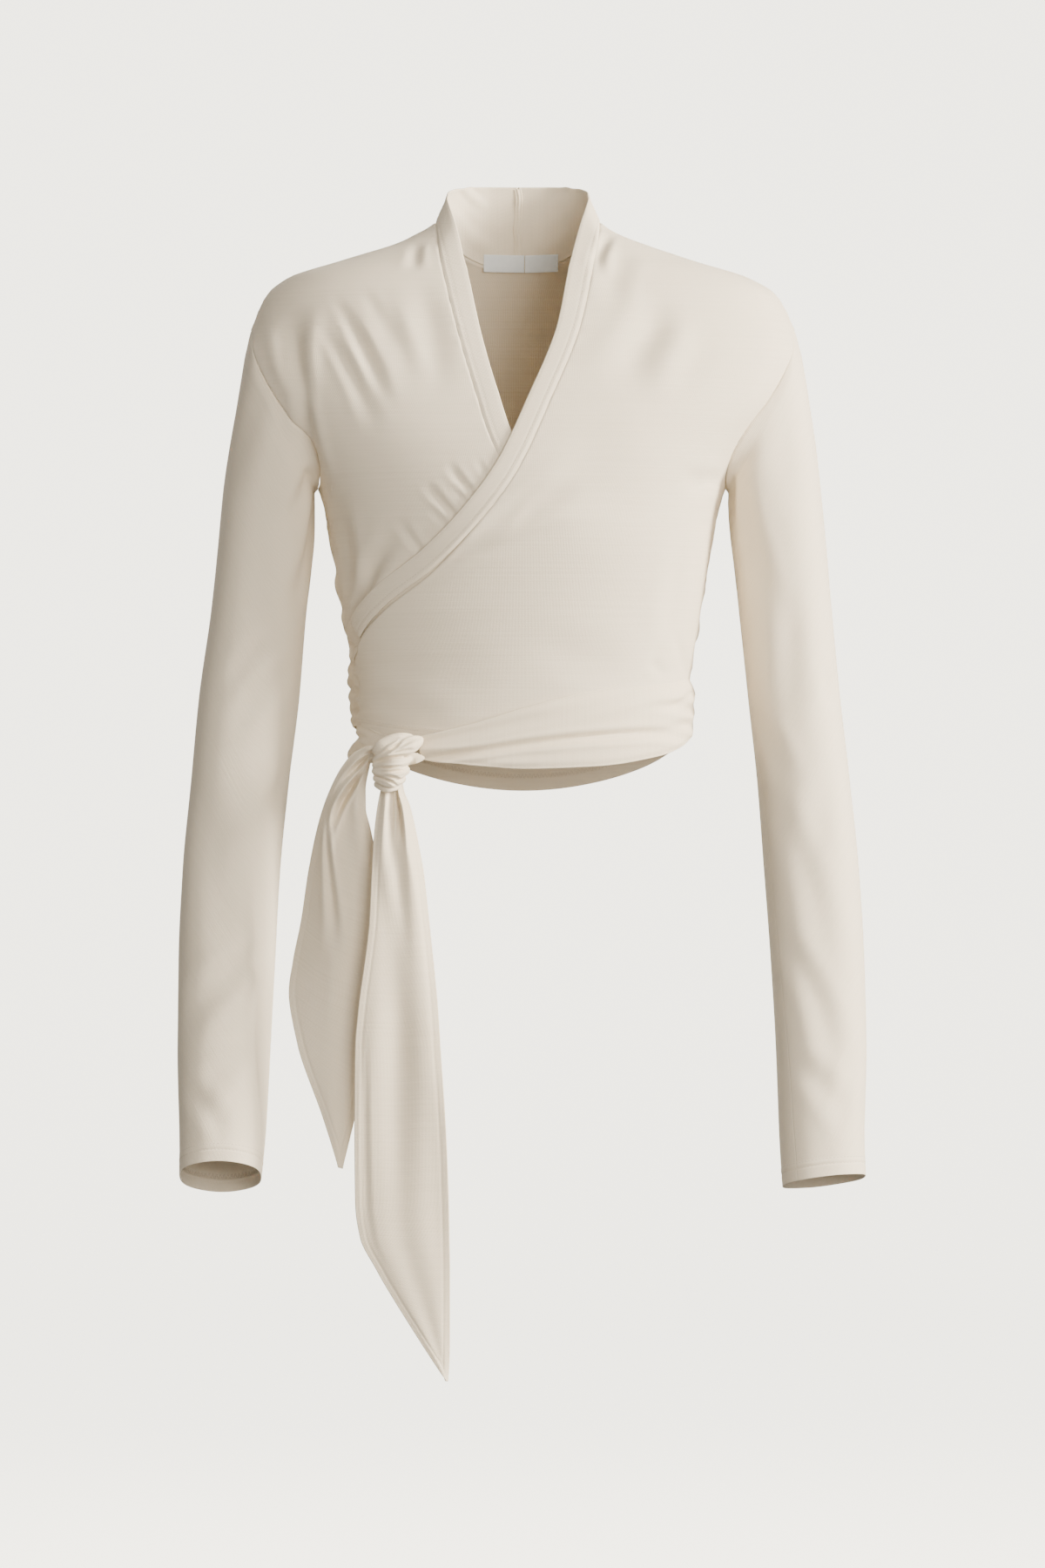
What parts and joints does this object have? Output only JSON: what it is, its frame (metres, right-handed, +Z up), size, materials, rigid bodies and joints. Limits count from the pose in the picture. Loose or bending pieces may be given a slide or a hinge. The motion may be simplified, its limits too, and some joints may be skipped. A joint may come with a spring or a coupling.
{
  "type": "wrap top, worn",
  "caption": "Cropped jersey wrap top with long sleeves and a standing band neck, its ties wound round the waist and knotted at one hip.",
  "frame": {"origin": "midway between the two high shoulder points, where the garment hangs from its wearer", "axes": "+Z up, -Y to the wearer's front, +X to the wearer's left"},
  "size_m": [0.5358, 0.2193, 0.928],
  "materials": {
    "jersey": "matte cream jersey",
    "tie_cloth": "matte cream jersey, slightly crisper",
    "label": "smooth woven tape, off-white"
  },
  "bodies": {
    "root": {"back": "jersey", "front_under": "jersey", "front_over": "jersey", "sleeve_left": "jersey", "sleeve_right": "jersey", "neckband_left": "jersey", "neckband_right": "jersey", "sash_over_front": "tie_cloth", "sash_over_back": "tie_cloth", "sash_under_back": "tie_cloth", "knot": "tie_cloth", "tie_end_long": "tie_cloth", "tie_end_short": "tie_cloth", "label_main": "label", "label_size": "label"}
  },
  "joints": []
}
